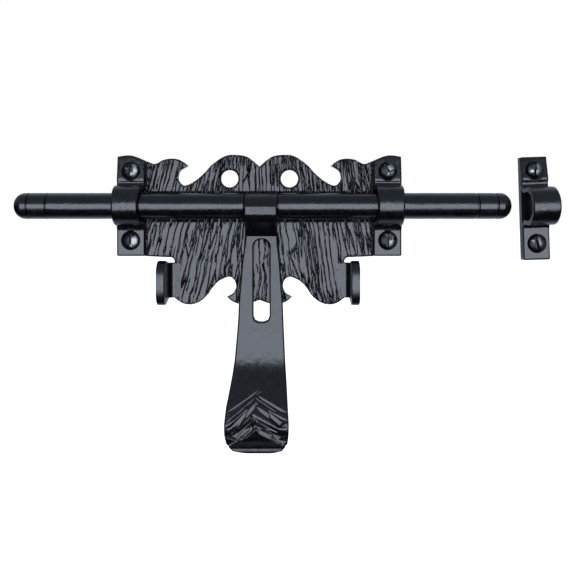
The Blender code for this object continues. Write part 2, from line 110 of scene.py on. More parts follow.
# the grain: how it leans, as slopes at the plate's left and right; then, in millimetres, the spacing of
# its columns, its tongues, and the least and most half width of their grooves, coarse and fine
GRAIN_LEAN = (0.22, -0.14)
GRAIN_STEP = 0.24
TONGUE_WIDTH, TONGUE_LENGTH = 3.3, 60
TONGUE_GROOVES = (0.25, 0.85)
FINE_WIDTH, FINE_LENGTH = 2.4, 32
FINE_GROOVES = (-0.2, 0.5)

# the grain's rows, the crease beside each pad, and how far the hollow behind the bar reaches past it
GRAIN_STEP_Z = 0.9 * MM
CREASE = 0.9 * MM
BED_BELOW = 2.8 * MM
BED_ABOVE = 1.2 * MM

# lugs
LUG_THICKNESS = 5.2 * MM
LUG_ROOT_THICKNESS = 3.5 * MM
LUG_BEND_RADIUS = 3.0 * MM
LUG_HEIGHT = 19.4 * MM
LUG_MIDDLE_Z = (-46.5 * MM, -47.3 * MM)
LUG_HALF_WIDTH = (11.0 * MM, 13.5 * MM)
LUG_ROUNDING = 2.4
LUG_SQUARENESS = 0.13
LUG_WEAR = 0.12
LUG_UNEVENNESS = 0.12 * MM
LUG_SIDES = 48
LUG_STEPS = 24
BEND_STEPS = 8

# guides and keeper
GUIDE_HALF_WIDTH = 8.8 * MM
CROWN_HALF_WIDTH = 7.9 * MM
GUIDE_FOOT_Z = -31.2 * MM
GUIDE_TOP_Z = 32.0 * MM
TUNNEL_RADIUS = BAR_RADIUS + 0.5 * MM
ARCH_RADIUS = 11.3 * MM
ARCH_FILLET = 3.0 * MM
GUIDE_SCREW_Z = (22.6 * MM, -21.4 * MM)
KEEPER_HALF_WIDTH = 8.25 * MM
KEEPER_THICKNESS = 6.2 * MM
KEEPER_TOP_Z = 31.1 * MM
KEEPER_FOOT_Z = -33.7 * MM
KEEPER_BASE_THICKNESS = 4.0 * MM
KEEPER_WALL = 2.8 * MM
KEEPER_ARCH_RADIUS = 11.8 * MM
KEEPER_TILT = math.radians(1.7)
KEEPER_SCREW_Z = 23.3 * MM
PROFILE_SPACING = 1.0 * MM
SLAB_COLUMNS = 18
PAD_EDGE = 1.2 * MM
PAD_ROLL = 2.5 * MM
GUIDE_GAP = 0.3 * MM
GUIDE_ROUNDING = 1.3 * MM
GUIDE_PAD_LEAN = 0.14
GUIDE_UNEVENNESS = 0.10 * MM
SHOULDER_RISE = 1.3 * MM
FILLET_DROP = 2.0 * MM
KEEPER_ROUNDING = 0.9 * MM
KEEPER_PAD_LEAN = 0.19
KEEPER_UNEVENNESS = 0.14 * MM

# screws
SCREW_HEAD_RADIUS = 4.85 * MM
SCREW_DOME = 1.7 * MM
SCREW_RIM = 0.25 * MM
SCREW_SHANK_RADIUS = 2.4 * MM
SCREW_LENGTH = 25.4 * MM
SCREW_POINT = 7.0 * MM
SCREW_SUNK = 0.7 * MM
SCREW_SLOT_WIDTH = 1.4 * MM
SCREW_SLOT_FLOOR = 0.9 * MM
SINK_RADIUS = 6.2 * MM
SINK_DEPTH = 3.3 * MM
THREAD_PITCH = 2.0 * MM
THREAD_DEPTH = 0.6 * MM
THREAD_START = 10.0 * MM
GUIDE_SLOT_TURNS = (20, 0, -25, 0)
KEEPER_SLOT_TURNS = (0, -8)

# toggle handle; edges are (z, left, right) and the side view is (y, z), in millimetres from the eye's axis
HANDLE_EDGES = (
    (9.0, -9.9, 9.9), (-18.0, -9.9, 9.9), (-24.0, -10.5, 10.2), (-34.0, -12.1, 11.4), (-58.0, -14.1, 13.2),
    (-72.0, -14.7, 13.7), (-96.0, -16.7, 14.8), (-110.0, -18.6, 15.8), (-121.0, -20.8, 16.4),
    (-130.0, -21.6, 17.0), (-137.0, -21.5, 16.9), (-142.0, -20.4, 16.2), (-145.5, -16.4, 13.0),
    (-147.2, -8.0, 7.0),
)
HANDLE_HEAD = (
    (-8.9, -9.6), (-11.0, -5.7), (-11.2, -4.6), (-10.9, 0.1), (-8.2, 4.0), (-5.9, 6.0), (-3.8, 7.3),
)
HANDLE_SWEEP = (
    (0, -80.0), (-1.2, -92.0), (-3.5, -101.0), (-8.6, -111.5), (-14.2, -122.5), (-18.1, -131.5),
    (-19.0, -138.0), (-18.8, -146.0),
)
HANDLE_LIP = ((-19.4, -147.0), (-22.0, -147.1), (-22.9, -146.6), (-23.3, -145.6))
HEAD_FOOT_Z = -18.8 * MM
EYE_RADIUS = 8.3 * MM
EYE_BORE_RADIUS = 5.3 * MM
STRAP_BACK = 8.4 * MM
STRAP_THICKNESS = 4.2 * MM
SWEEP_LEAN = 1.2 * MM
SLOT_HALF_WIDTH = 5.0 * MM
SLOT_TOP_Z = -20.6 * MM
SLOT_BOTTOM_Z = -72.2 * MM
SLOT_CORNER = 3.6 * MM
SLOT_CHAMFER = 0.8 * MM
HANDLE_ROUNDING = 1.3 * MM
HANDLE_COLUMNS = 96
HANDLE_UNEVENNESS = 0.10 * MM
HANDLE_SPACING = 1.2 * MM
CHISEL_TOP_Z = -104.0 * MM
CHISEL_SPACING = 0.35 * MM

# chisel cuts on the handle's end, as (start x, z, end x, z, size at start, size at end, section): the
# section runs down from the cut's line as (width, depth gained), and everything is in millimetres
CHISEL_CUTS = (
    (-0.9, -111.3, -20.4, -123.7, 1, 0.8, ((1.1, 0.34), (2.4, -0.34))),
    (-8.7, -118.0, -20.1, -125.3, 0.8, 1, ((0.6, 0.2), (1.2, -0.2))),
    (0.0, -112.4, -2.4, -114.6, 1, 1, ((0.45, 0.5), (0.5, -0.5))),
    (-3.3, -115.8, -19.5, -128.5, 1, 0.9, ((0.5, 0.55), (1.3, -0.55))),
    (-8.1, -121.8, -21.0, -131.8, 0.4, 1.2, ((0.55, 0.17), (1.5, 1.35), (3, 0), (1.2, -1.52))),
    (-1.5, -117.0, -20.4, -135.5, 0.8, 1.1, ((2.6, 0.85), (0.7, -0.85))),
    (-5.1, -124.8, -20.4, -136.1, 1, 1, ((1.2, 0.38), (2.3, 2), (2.2, -1.2), (2, -1.18))),
    (-3.0, -127.7, -12.3, -137.4, 1, 0.8, ((1.5, 0.45), (0.35, 0.3), (1, 0.3), (1.2, -1.05))),
    (-8.1, -137.4, -19.8, -142.8, 1, 1, ((0.45, -0.3), (0.7, 0.3))),
    (-15.9, -135.8, -21.0, -140.4, 1, 1, ((0.45, -0.25), (0.7, 0.25))),
    (-2.4, -114.0, 15.6, -123.4, 1, 1, ((1.4, 0.45), (1.6, -0.45))),
    (-3.6, -115.6, 10.5, -124.0, 1, 0.7, ((0.5, 0.55), (1.3, -0.55))),
    (5.1, -122.3, 15.6, -127.5, 0.6, 1.1, ((1.2, 0.4), (1.2, 1.1), (2.6, 0), (1, -1.5))),
    (-0.9, -118.3, -3.1, -120.2, 1, 1, ((0.4, 0.45), (0.5, -0.45))),
    (-3.3, -119.7, 15.6, -130.4, 0.7, 1.2, ((2.4, 0.75), (0.9, -0.75))),
    (-5.4, -123.7, 14.1, -134.2, 1.25, 0.6, ((2.9, 0.95), (0.5, -0.3), (1, -0.65))),
    (-3.0, -126.5, 15.6, -135.5, 0.4, 1.25, ((1.7, 1.5), (2.4, 0), (1.2, -1.5))),
    (-4.8, -125.8, 15.3, -138.7, 1, 0.9, ((2.4, 0.8), (0.5, -0.2), (1, -0.6))),
    (-3.3, -130.4, 15.0, -140.1, 0.7, 1.1, ((1.3, 1.2), (2.5, -1.2))),
    (4.5, -136.6, 14.7, -142.8, 1, 1, ((0.45, -0.3), (0.7, 0.3))),
    (2.6, -89.2, 7.2, -89.9, 1, 1, ((0.6, 0.16), (0.8, -0.16))),
    (-9, -96.6, -5.6, -96, 1, 1, ((0.5, 0.12), (0.8, -0.12))),
)
CHISEL_MOST = 3.1
HOLLOW = (-133.0, -142.8, -143.7)
HOLLOW_DEPTH = 3.0

# looks
BLUE_BLACK = (0.0010, 0.0011, 0.0015)
WORN_BLACK = (0.0032, 0.0035, 0.0045)
SCUFFED_BLACK = (0.008, 0.0085, 0.0095)
DARK_STEEL = (0.014, 0.0145, 0.016)
GREY_STEEL = (0.034, 0.035, 0.038)
# the screws' bright steel, used both for their rubbed patches and for the painted highlight on their right
# side
RUBBED_AND_HIGHLIT_STEEL = (0.14, 0.14, 0.145)
BARE_AND_HIGHLIT_STEEL = (0.30, 0.30, 0.305)

LIGHT_TINT = (0.80, 0.87, 1.0)
SURROUND_TINT = (0.70, 0.79, 1.0, 1)
WHITE = (1, 1, 1, 1)
GLOW_BELOW, GLOW_ABOVE, GLOW_BEHIND = 0.006, 0.38, 0.95
LOW_BEHIND = (0, 1, -0.6)

# camera
CAMERA_PLACE = (0.018, -0.3925, -0.00865)
CAMERA_LENS = 38.56
CAMERA_SHIFT = -0.118

FLOOR_Z = -0.9
FLOOR_RADIUS = 60.0
SHARP_ANGLE = math.radians(38)
CUT_MARGIN = 2.0 * MM


# ---------------------------------------------------------------- small helpers

def mix(a, b, share):
    return a + (b - a) * share


def clamp(value, low=0.0, high=1.0):
    return max(low, min(value, high))


def ease(value):
    """From 0 to 1, starting and ending slowly."""
    value = clamp(value)
    return value * value * (3 - 2 * value)


def arc(centre, radius, start, end, steps):
    """Points on a circle from one angle to another, in degrees, both ends included."""
    angles = [math.radians(start + (end - start) * i / steps) for i in range(steps + 1)]
    return [(centre[0] + radius * math.cos(a), centre[1] + radius * math.sin(a)) for a in angles]


def catmull_rom(a, b, c, d, t):
    square = 2 * a - 5 * b + 4 * c - d
    cube = 3 * b - a - 3 * c + d
    return (2 * b + (c - a) * t + square * t**2 + cube * t**3) / 2


def smooth_curve(points, steps):
    """A smooth curve through the points, without its last one. Three points or fewer stay straight."""
    padded = [points[0], *points, points[-1]]
    count = steps if len(points) > 3 else 1
    curve = []
    for corners in zip(padded, padded[1:], padded[2:], padded[3:]):
        for step in range(count):
            curve.append(tuple(catmull_rom(*values, step / count) for values in zip(*corners)))
    return curve


def spaced(points, spacing):
    """A closed outline with extra points, so that no two neighbours are further apart than the spacing.

    spacing is a length, or a function of the stretch's middle that gives one.
    """
    result = []
    for a, b in zip(points, points[1:] + points[:1]):
        limit = spacing((a[1] + b[1]) / 2) if callable(spacing) else spacing
        pieces = max(1, math.ceil(math.dist(a, b) / limit))
        result += [tuple(mix(u, v, i / pieces) for u, v in zip(a, b)) for i in range(pieces)]
    return result


def outward_normals(points):
    """A normal at each point of a closed outline, pointing away from its inside."""
    area = sum(a[0] * b[1] - b[0] * a[1] for a, b in zip(points, points[1:] + points[:1]))
    turn = 1 if area > 0 else -1
    normals = []
    for before, after in zip(points[-1:] + points[:-1], points[1:] + points[:1]):
        du, dv = after[0] - before[0], after[1] - before[1]
        length = math.hypot(du, dv)
        normals.append((turn * dv / length, -turn * du / length))
    return normals


def inset_limits(points, normals, most):
    """How far each point of a closed outline can be drawn in, at most, without crossing its neighbours."""
    count = len(points)
    steps = [math.dist(points[i - 1], points[i]) for i in range(count)]
    limits = []
    for i, (nu, nv) in enumerate(normals):
        before, here, after = points[i - 1], points[i], points[(i + 1) % count]
        bulge = sum(n * (2 * h - b - a) for n, h, b, a in zip((nu, nv), here, before, after))
        short = min(steps[i], steps[(i + 1) % count])
        limits.append(min(most, short**2 / bulge) if bulge > 0 else most)
    for _ in range(2):
        for i in range(count):
            limits[i] = min(limits[i], limits[i - 1] + steps[i])
        for i in reversed(range(count)):
            limits[i - 1] = min(limits[i - 1], limits[i] + steps[i])
    return limits


def lumps(x, y, z, size):
    """Smooth noise from about -1 to 1, its lumps about size apart."""
    return noise.noise(Vector((x / size, y / size, z / size)))


def new_object(name, bm, material):
    bmesh.ops.recalc_face_normals(bm, faces=bm.faces)
    mesh = bpy.data.meshes.new(name)
    bm.to_mesh(mesh)
    bm.free()
    mesh.shade_smooth()
    mesh.set_sharp_from_angle(angle=SHARP_ANGLE)
    if material:
        mesh.materials.append(material)
    obj = bpy.data.objects.new(name, mesh)
    bpy.context.scene.collection.objects.link(obj)
    return obj


def stand_in_for(node, obj, body):
    """Shows obj in place of a CAD node, moving with that node's body."""
    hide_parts(node)
    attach(obj, body)


def carve(obj, cutters):
    """Cuts closed shapes out of an object and keeps only the result."""
    for cutter in cutters:
        boolean = obj.modifiers.new("cut", "BOOLEAN")
        boolean.solver = "EXACT"
        boolean.object = cutter
    bpy.context.view_layer.update()
    result = bpy.data.meshes.new_from_object(obj.evaluated_get(bpy.context.evaluated_depsgraph_get()))
    obj.modifiers.clear()
    obj.data = result
    result.set_sharp_from_angle(angle=SHARP_ANGLE)
    for cutter in cutters:
        bpy.data.objects.remove(cutter)
    return obj


def turned_bmesh(profile, segments, axis, centre, shape=None):
    """A closed solid of revolution about a line along X or Y. The profile's points are (along, radius)."""
    bm = bmesh.new()
    rings = []
    for along, radius in profile:
        ring = []
        for i in range(1 if radius == 0 else segments):
            turn = 2 * math.pi * i / segments
            r = shape(along, radius, turn) if shape else radius
            u, v = r * math.cos(turn), r * math.sin(turn)
            offset = (along, u, v) if axis == "X" else (u, along, v)
            ring.append(bm.verts.new(Vector(centre) + Vector(offset)))
        rings.append(ring)
    for a, b in zip(rings, rings[1:]):
        for i in range(segments):
            corners = [a[i - 1], a[i]] if len(a) > 1 else [a[0]]
            corners += [b[i], b[i - 1]] if len(b) > 1 else [b[0]]
            bm.faces.new(corners)
    return bm


def rounded_slab(name, profile, rounding, columns, place, material, seat=None):
    """A closed solid: a (y, z) profile given a width along X, with its long edges rounded.

    place(y, z, share, inward, facing) gives each point's x, y and z. share runs from 0 to 1 across the
    width, inward is a step towards the middle, and facing is the profile's normal there. seat is the y
    of a flat back to stand on, whose edges stay square.
    """
    turns = [math.radians(90 * i / 4) for i in range(5)]
    left = [(0, rounding * (1 - math.sin(a)), rounding * (1 - math.cos(a))) for a in reversed(turns)]
    inner = [(i / columns, rounding * (1 - 2 * i / columns), 0) for i in range(1, columns)]
    right = [(1, -inward, inset) for _, inward, inset in reversed(left)]
    normals = outward_normals(profile)
    limits = inset_limits(profile, normals, rounding)
    bm = bmesh.new()
    sheets = []
    for share, inward, inset in left + inner + right:
        sheet = []
        for (y, z), (ny, nz), limit in zip(profile, normals, limits):
            pull = min(inset, limit) * (1 if seat is None else clamp((seat - y) / (2 * rounding)))
            sheet.append(bm.verts.new(place(y - ny * pull, z - nz * pull, share, inward, (ny, nz))))
        sheets.append(sheet)
    for a, b in zip(sheets, sheets[1:]):
        for i in range(len(profile)):
            bm.faces.new((a[i - 1], a[i], b[i], b[i - 1]))
    caps = [bm.faces.new(sheets[0]), bm.faces.new(sheets[-1])]
    bm.normal_update()
    bmesh.ops.triangulate(bm, faces=caps)
    return new_object(name, bm, material)


def prism_cutter(outline, levels, place):
    """A closed cutter through copies of an outline, one per level. place(u, v, level) gives x, y and z."""
    bm = bmesh.new()
    rings = [[bm.verts.new(place(u, v, level)) for u, v in outline] for level in levels]
    for a, b in zip(rings, rings[1:]):
        for i in range(len(outline)):
            bm.faces.new((a[i - 1], a[i], b[i], b[i - 1]))
    caps = [bm.faces.new(rings[0]), bm.faces.new(rings[-1])]
    bm.normal_update()
    bmesh.ops.triangulate(bm, faces=caps)
    return new_object("cutter", bm, None)


def upright(x, z, y):
    return x, y, z


def sink_cutter(x, y, z, depth):
    """A countersink and its clearance hole, mouth at (x, y, z)."""
    rim = SINK_RADIUS + CUT_MARGIN
    profile = [
        (-CUT_MARGIN, 0), (-CUT_MARGIN, rim), (SINK_DEPTH, SCREW_HOLE_RADIUS),
        (depth, SCREW_HOLE_RADIUS), (depth, 0),
    ]
    return new_object("cutter", turned_bmesh(profile, 48, "Y", (x, y, z)), None)


# ---------------------------------------------------------------- materials

def node_material(name):
    material = bpy.data.materials.new(name)
    material.use_nodes = True
    tree = material.node_tree
    return material, tree, tree.nodes["Principled BSDF"]


def noise_node(tree, scale, detail, stretch=None):
    """A noise texture in the object's own space, scale in lumps per metre, finer along some axes if told."""
    coords = tree.nodes.new("ShaderNodeTexCoord")
    texture = tree.nodes.new("ShaderNodeTexNoise")
    texture.inputs["Scale"].default_value = scale
    texture.inputs["Detail"].default_value = detail
    source = coords.outputs["Object"]
    if stretch:
        mapping = tree.nodes.new("ShaderNodeMapping")
        mapping.inputs["Scale"].default_value = stretch
        tree.links.new(source, mapping.inputs["Vector"])
        source = mapping.outputs["Vector"]
    tree.links.new(source, texture.inputs["Vector"])
    return texture.outputs["Fac"]


def ramp(tree, value, low, high, low_colour, high_colour):
    """Colours running from one to another as the value goes from low to high."""
    node = tree.nodes.new("ShaderNodeValToRGB")
    start, end = node.color_ramp.elements
    start.position, end.position = low, high
    start.color, end.color = (*low_colour, 1), (*high_colour, 1)
    tree.links.new(value, node.inputs["Fac"])
    return node.outputs["Color"]


def spread(tree, value, low, high, out_low, out_high):
    """The value, moved from one range to another and kept inside it."""
    node = tree.nodes.new("ShaderNodeMapRange")
    node.inputs["From Min"].default_value = low
    node.inputs["From Max"].default_value = high
    node.inputs["To Min"].default_value = out_low
    node.inputs["To Max"].default_value = out_high
    tree.links.new(value, node.inputs["Value"])
    return node.outputs["Result"]


def blend_colours(tree, share, a, b):
    node = tree.nodes.new("ShaderNodeMix")
    node.data_type = "RGBA"
    tree.links.new(share, node.inputs["Factor"])
    tree.links.new(a, node.inputs["A"])
    tree.links.new(b, node.inputs["B"])
    return node.outputs["Result"]


def bump(tree, height, distance, below=None):
    node = tree.nodes.new("ShaderNodeBump")
    node.inputs["Distance"].default_value = distance
    tree.links.new(height, node.inputs["Height"])
    if below:
        tree.links.new(below, node.inputs["Normal"])
    return node.outputs["Normal"]


def painted_iron(name, roughness, lump_size, lump_height, grit_height, stretch=None, ior=1.55):
    """Satin black paint: uneven tone, a fine gritty skin over soft lumps, and worn convex edges."""
    material, tree, shader = node_material(name)
    tone = noise_node(tree, 240, 3)
    paint = ramp(tree, tone, 0.35, 0.7, BLUE_BLACK, WORN_BLACK)
    edge = tree.nodes.new("ShaderNodeNewGeometry").outputs["Pointiness"]
    worn = spread(tree, edge, 0.53, 0.60, 0.0, 0.6)
    scuffed = ramp(tree, tone, 0.3, 0.7, WORN_BLACK, SCUFFED_BLACK)
    tree.links.new(blend_colours(tree, worn, paint, scuffed), shader.inputs["Base Color"])
    gloss = spread(tree, noise_node(tree, 520, 2), 0.3, 0.7, roughness - 0.05, roughness + 0.07)
    tree.links.new(gloss, shader.inputs["Roughness"])
    soft = bump(tree, noise_node(tree, 1 / lump_size, 2, stretch), lump_height)
    tree.links.new(bump(tree, noise_node(tree, 2600, 2), grit_height, soft), shader.inputs["Normal"])
    shader.inputs["IOR"].default_value = ior
    return material


def worn_screw_steel_and_highlight():
    """Blackened steel rubbed bright in patches, plus a painted highlight that brightens the right side of
    each head, with fine turning marks.
    """
    material, tree, shader = node_material("worn_screw_steel_and_highlight")
    patches = noise_node(tree, 260, 3)
    fine = noise_node(tree, 900, 4)
    dark = ramp(tree, fine, 0.35, 0.75, DARK_STEEL, GREY_STEEL)
    bright = ramp(tree, fine, 0.3, 0.7, RUBBED_AND_HIGHLIT_STEEL, BARE_AND_HIGHLIT_STEEL)
    split = tree.nodes.new("ShaderNodeSeparateXYZ")
    tree.links.new(tree.nodes.new("ShaderNodeNewGeometry").outputs["Normal"], split.inputs["Vector"])
    # painted highlight: where the normal faces +X the bright colour takes over, as if a light stood on the
    # right; the noise patches are real wear
    side = spread(tree, split.outputs["X"], -0.12, 0.3, -0.07, 0.10)
    total = tree.nodes.new("ShaderNodeMath")
    tree.links.new(patches, total.inputs[0])
    tree.links.new(side, total.inputs[1])
    wear_and_highlight = spread(tree, total.outputs["Value"], 0.49, 0.57, 0.0, 1.0)
    tree.links.new(blend_colours(tree, wear_and_highlight, dark, bright), shader.inputs["Base Color"])
    tree.links.new(spread(tree, fine, 0.3, 0.7, 0.28, 0.48), shader.inputs["Roughness"])
    tree.links.new(bump(tree, fine, 0.05 * MM), shader.inputs["Normal"])
    shader.inputs["Metallic"].default_value = 1.0
    return material


def pale_studio():
    """The floor's matt near-white, which glows so that it looks evenly lit."""
    material, tree, shader = node_material("pale_studio")
    tone = ramp(tree, noise_node(tree, 3, 2), 0.2, 0.8, (0.90, 0.90, 0.91), (0.94, 0.94, 0.94))
    tree.links.new(tone, shader.inputs["Base Color"])
    shader.inputs["Roughness"].default_value = 0.9
    shader.inputs["Emission Color"].default_value = WHITE
    shader.inputs["Emission Strength"].default_value = 1.0
    return material


# ---------------------------------------------------------------- back plate

def plate_loop():
    """The plate's whole outline, closely spaced: the right half, then its mirror image up the left."""
    half = [p for stretch in PLATE_OUTLINE for p in smooth_curve(stretch, OUTLINE_STEPS)]
    half.append(PLATE_OUTLINE[-1][-1])
    mirrored = [(-x, z) for x, z in reversed(half[1:-1])]
    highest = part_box("back_plate")[1].z
    return spaced([(x * MM, min(z * MM, highest)) for x, z in half + mirrored], OUTLINE_SPACING)


def circle(x, z, radius, steps=40):
    return arc((x, z), radius, 0, 360 * (steps - 1) / steps, steps - 1)


def inside(points, loop):
    """For each point, whether it lies inside a closed loop."""
    within = np.zeros(len(points), bool)
    x, z = points[:, 0], points[:, 1]
    for (ax, az), (bx, bz) in zip(loop, loop[1:] + loop[:1]):
        crosses = (az > z) != (bz > z)
        if az != bz:
            within ^= crosses & (x < (bx - ax) * (z - az) / (bz - az) + ax)
    return within


def distance_to(points, loop):
    """Each point's distance to a closed loop's nearest side."""
    nearest = np.full(len(points), np.inf)
    for a, b in zip(loop, loop[1:] + loop[:1]):
        a, side = np.array(a), np.array(b) - np.array(a)
        share = np.clip((points - a) @ side / (side @ side), 0, 1)
        nearest = np.minimum(nearest, np.linalg.norm(points - a - share[:, None] * side, axis=1))
    return nearest


def tongue(across, z, layer, width, length):
    """The tongue of bark at a point: its seed, the distance to the groove round it, and how upright that is.

    Tongues are long random cells. across, z, width, length and the distance are in millimetres.
    """
    distances, seeds = noise.voronoi(Vector((across / width, layer, z / length)))
    to_next = seeds[1] - seeds[0]
    steepness = math.hypot(to_next.x / width, to_next.z / length)
    gap = (distances[1] ** 2 - distances[0] ** 2) / (2 * steepness)
    return seeds[0], gap, abs(to_next.x) / width / steepness


def grain_across(x, z):
    """The distance across the wavy grain, in millimetres: it stays the same along one groove."""
    x_mm, z_mm = x / MM, z / MM
    lean = mix(*GRAIN_LEAN, ease((x_mm + 50) / 90))
    bend = 1.5 * lumps(x, 1 * MM, z, 19 * MM) + 0.5 * lumps(x, 2 * MM, z, 7 * MM)
    return x_mm - lean * z_mm + bend


def groove(gap, upright_share, half):
    """A V groove's depth, from 0 to 1: half its width in millimetres, and gone where it would run across."""
    half *= ease((upright_share - 0.55) / 0.35)
    return max(0, 1 - gap / half) * min(1, 0.45 + half) if half > 0.04 else 0


def grain_depth(x, z):
    """How far the plate's face lies below its highest land, in metres."""
    across, z_mm = grain_across(x, z), z / MM
    seed, gap, upright_share = tongue(across, z_mm, 0.5, TONGUE_WIDTH, TONGUE_LENGTH)
    half = mix(*TONGUE_GROOVES, ease(0.45 + 0.9 * lumps(x, 3 * MM, z, 14 * MM)))
    depth = groove(gap, upright_share, half)
    _, gap, upright_share = tongue(across, z_mm, 7.5, FINE_WIDTH, FINE_LENGTH)
    half = mix(*FINE_GROOVES, ease(0.5 + 1.1 * lumps(x, 4 * MM, z, 11 * MM)))
    depth = max(depth, groove(gap, upright_share, half))
    level = 0.12 * (1 + noise.noise(3 * seed)) + 0.14 * (across / TONGUE_WIDTH - seed.x)
    swell = 0.15 * (1 + noise.noise(Vector((across / 2.4, 5.0, z_mm / 10))))
    fibre = 0.16 * abs(noise.noise(Vector((across / 0.75, 4.0, z_mm / 14))))
    return GROOVE_DEPTH * min(1, 0.85 * depth + level + swell + fibre)


def grain_grid(low_x, high_x, low_z, high_z):
    """Points over the plate in columns that follow the grain, so that its grooves stay unbroken."""
    coarse = np.arange(low_x, high_x + MM, MM)
    points = []
    for z in np.arange(low_z, high_z, GRAIN_STEP_Z):
        across = [grain_across(x, z) for x in coarse]
        wanted = np.arange(math.ceil(across[0] / GRAIN_STEP) * GRAIN_STEP, across[-1], GRAIN_STEP)
        points += [(x, z) for x in np.interp(wanted, across, coarse)]
    return points


def flat_triangles(loops, inner):
    """Triangles over the points of closed loops and the points between them, as (points, triangles)."""
    points = [p for loop in loops for p in loop] + inner
    edges, start = [], 0
    for loop in loops:
        edges += [(start + i, start + (i + 1) % len(loop)) for i in range(len(loop))]
        start += len(loop)
    flat, _, faces, *_ = geometry.delaunay_2d_cdt([Vector(p) for p in points], edges, [], 0, 1e-9)
    flat = np.array([tuple(p) for p in flat])
    centres = flat[np.array(faces)].mean(axis=1)
    keep = inside(centres, loops[0])
    for hole in loops[1:]:
        keep &= ~inside(centres, hole)
    return flat, [face for face, kept in zip(faces, keep) if kept]


def plate_body(bm):
    """The grained plate: a relief on the front, a worn rim round every edge, and a flat back."""
    outline = plate_loop()
    holes = [circle(side * FIXING_HOLE[0], FIXING_HOLE[1], FIXING_HOLE_RADIUS) for side in (-1, 1)]
    holes += [circle(side * GUIDE_X, z, SCREW_HOLE_RADIUS, 24) for side in (-1, 1) for z in GUIDE_SCREW_Z]
    loops = [outline, *holes]
    rim = []
    for loop, sign in zip(loops, (-1, *[1] * len(holes))):
        for (x, z), (nx, nz) in zip(loop, outward_normals(loop)):
            rim.append((x + sign * nx * RIM_WIDTH, z + sign * nz * RIM_WIDTH))
    low_x, high_x = min(p[0] for p in outline), max(p[0] for p in outline)
    low_z, high_z = min(p[1] for p in outline), max(p[1] for p in outline)
    grid = grain_grid(low_x, high_x, low_z, high_z)

    def clear(candidates, margin):
        candidates = np.array(candidates)
        distance = np.min([distance_to(candidates, loop) for loop in loops], axis=0)
        keep = inside(candidates, outline) & (distance > margin)
        for hole in holes:
            keep &= ~inside(candidates, hole)
        return [tuple(p) for p in candidates[keep]]

    inner = clear(rim, 0.9 * RIM_WIDTH) + clear(grid, 1.25 * RIM_WIDTH)
    flat, faces = flat_triangles(loops, inner)
    distance = np.min([distance_to(flat, loop) for loop in loops], axis=0)
    front = []
    for (x, z), gap in zip(flat, distance):
        to_hole = math.dist((abs(x), z), FIXING_HOLE) - FIXING_HOLE_RADIUS
        edges = max((1 - ease(gap / RIM_WIDTH)) * RIM_DROP, (1 - to_hole / HOLE_RIM_WIDTH) * HOLE_RIM_DROP)
        beside_pad = abs(abs(x) - GUIDE_X) - GUIDE_HALF_WIDTH
        crease = 1 - abs(beside_pad - CREASE / 2) / CREASE
        bed = 1 - max(0, abs(z) - BAR_RADIUS) / (BED_BELOW if z < 0 else BED_ABOVE)
        grain = grain_depth(x, z) * min(1, gap / RIM_WIDTH)
        depth = max(grain, edges, crease * GROOVE_DEPTH, bed * GROOVE_DEPTH)
        front.append(bm.verts.new((x, -PLATE_THICKNESS + depth, z)))
    for face in faces:
        bm.faces.new([front[i] for i in face])
    back_flat, back_faces = flat_triangles(loops, [])
    back = [bm.verts.new((x, 0, z)) for x, z in back_flat]
    for face in back_faces:
        bm.faces.new([back[i] for i in reversed(face)])
    start = 0
    for loop in loops:
        for i in range(len(loop)):
            a, b = start + i, start + (i + 1) % len(loop)
            bm.faces.new((front[a], front[b], back[b], back[a]))
        start += len(loop)


def lug_body(bm, side):
    """One side lug, bent forward out of the plate's edge: a rounded strip swept along its bend."""
    bend_x, bend_y = PLATE_EDGE_X - 0.3 * MM, -PLATE_THICKNESS - LUG_BEND_RADIUS
    stations = [(PLATE_EDGE_X - 4 * MM, -PLATE_THICKNESS / 2, 0, LUG_ROOT_THICKNESS, 0)]
    for step in range(BEND_STEPS + 1):
        share = step / BEND_STEPS
        thickness = mix(LUG_ROOT_THICKNESS, LUG_THICKNESS, share)
        radius = LUG_BEND_RADIUS + mix(PLATE_THICKNESS, LUG_THICKNESS, share) / 2
        lean = math.radians(90) * share
        y = bend_y + radius * math.cos(lean)
        stations.append((bend_x + radius * math.sin(lean), y, lean, thickness, -PLATE_THICKNESS - y))
    x, _, lean, thickness, _ = stations[-1]
    for step in range(1, LUG_STEPS + 1):
        height = mix(LUG_BEND_RADIUS, LUG_HEIGHT, 1 - (1 - step / LUG_STEPS) ** 1.8)
        stations.append((x, -PLATE_THICKNESS - height, lean, thickness, height))
    rings = []
    for x, y, lean, thickness, height in stations:
        share = clamp(height / LUG_HEIGHT)
        centre = mix(*LUG_MIDDLE_Z, share)
        half = mix(*LUG_HALF_WIDTH, min(share / 0.6, 1))
        rounding = clamp((share - 0.6) / 0.4, 0, 0.99)
        half *= (1 - rounding**LUG_ROUNDING) ** (1 / LUG_ROUNDING)
        worn = 1 - LUG_WEAR * ease((share - 0.9) / 0.1)
        ring = []
        for i in range(LUG_SIDES):
            turn = 2 * math.pi * i / LUG_SIDES
            c, s = math.cos(turn), math.sin(turn)
            out = math.copysign(abs(c) ** LUG_SQUARENESS, c) * thickness / 2 * worn
            along = math.copysign(abs(s) ** LUG_SQUARENESS, s) * half
            uneven = LUG_UNEVENNESS * lumps(side * x + out, y, centre + along, 5 * MM) * share
            out += math.copysign(abs(uneven), -out)
            ring.append(bm.verts.new((
                side * (x + math.sin(lean) * out), y + math.cos(lean) * out, centre + along,
            )))
        rings.append(ring)
    for a, b in zip(rings, rings[1:]):
        for i in range(LUG_SIDES):
            bm.faces.new((a[i - 1], a[i], b[i], b[i - 1]))
    bm.faces.new(rings[0])
    bm.faces.new(rings[-1])


def grained_plate(material):
    """The back plate and its two lugs, as one visible piece."""
    bm = bmesh.new()
    plate_body(bm)
    for side in (-1, 1):
        lug_body(bm, side)
    obj = new_object("grained_plate", bm, material)
    stand_in_for("back_plate", obj, "root")


# ---------------------------------------------------------------- guides and keeper

